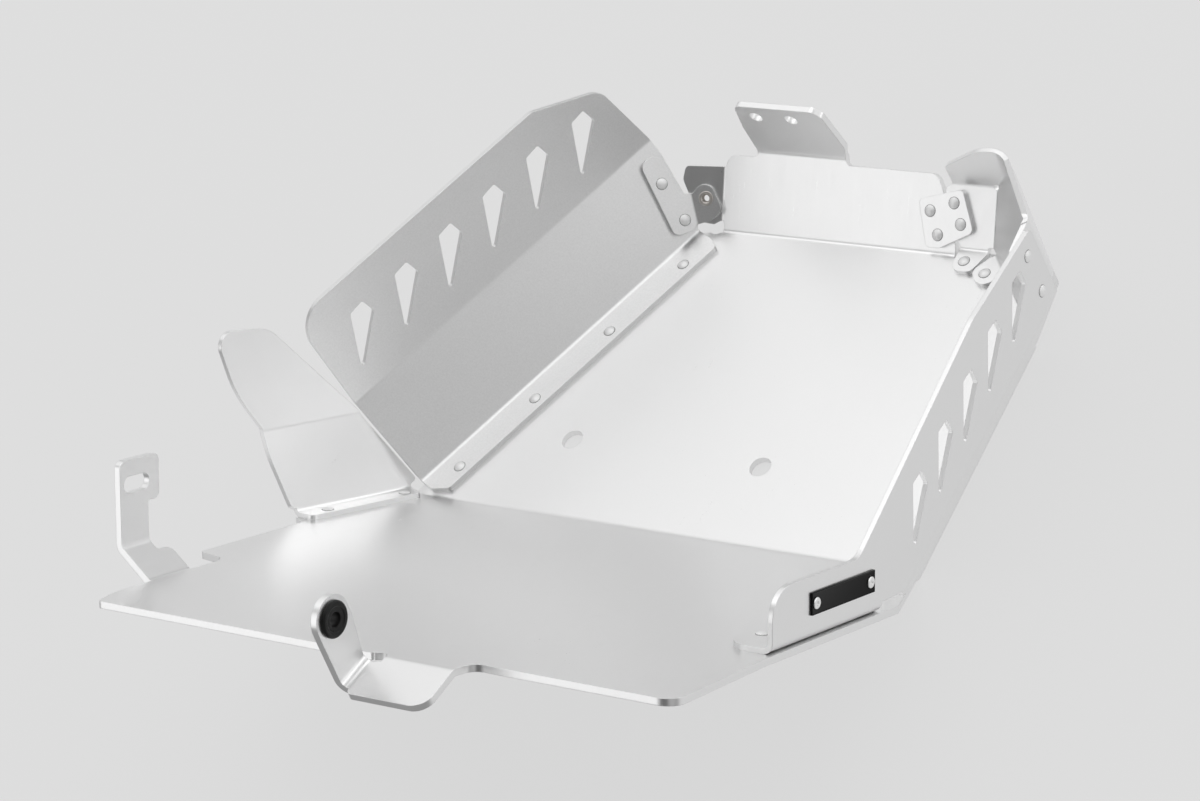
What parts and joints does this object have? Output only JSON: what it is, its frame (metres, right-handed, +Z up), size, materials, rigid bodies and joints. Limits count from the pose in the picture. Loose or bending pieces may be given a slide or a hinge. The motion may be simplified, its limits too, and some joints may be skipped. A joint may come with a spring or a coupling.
{
  "type": "motorcycle skid plate",
  "caption": "Folded sheet-aluminium skid plate for a motorcycle, with riveted side panels, kite-shaped cut-outs and mounting tabs.",
  "frame": {"origin": "on the floor's flat underside, in the middle and 3 mm behind the front fold line", "axes": "+Z up from the floor, +Y to the rear of the motorcycle, +X across to the side of the straight wall with the badge"},
  "size_m": [0.4364, 0.5251, 0.2542],
  "materials": {
    "sheet_aluminium": "satin",
    "rivet_aluminium": "satin",
    "nut_steel": "satin",
    "fastener": "gloss",
    "badge_black": "gloss",
    "grommet_rubber": "matte"
  },
  "bodies": {
    "root": {"base_plate": "sheet_aluminium", "left_side_panel": "sheet_aluminium", "left_front_wing": "sheet_aluminium", "right_side_panel": "sheet_aluminium", "rear_corner_panel": "sheet_aluminium", "corner_joint_plate": "sheet_aluminium", "left_rear_bracket": "sheet_aluminium", "left_floor_rivets": "rivet_aluminium", "right_floor_rivets": "rivet_aluminium", "left_wing_rivets": "rivet_aluminium", "right_nose_rivets": "rivet_aluminium", "bracket_rivets": "rivet_aluminium", "corner_plate_rivets": "rivet_aluminium", "corner_floor_rivets": "rivet_aluminium", "right_rear_rivets": "rivet_aluminium", "badge_fasteners": "fastener", "bracket_rivet_nut": "nut_steel", "badge_plate": "badge_black", "ear_grommet": "grommet_rubber"}
  },
  "joints": []
}
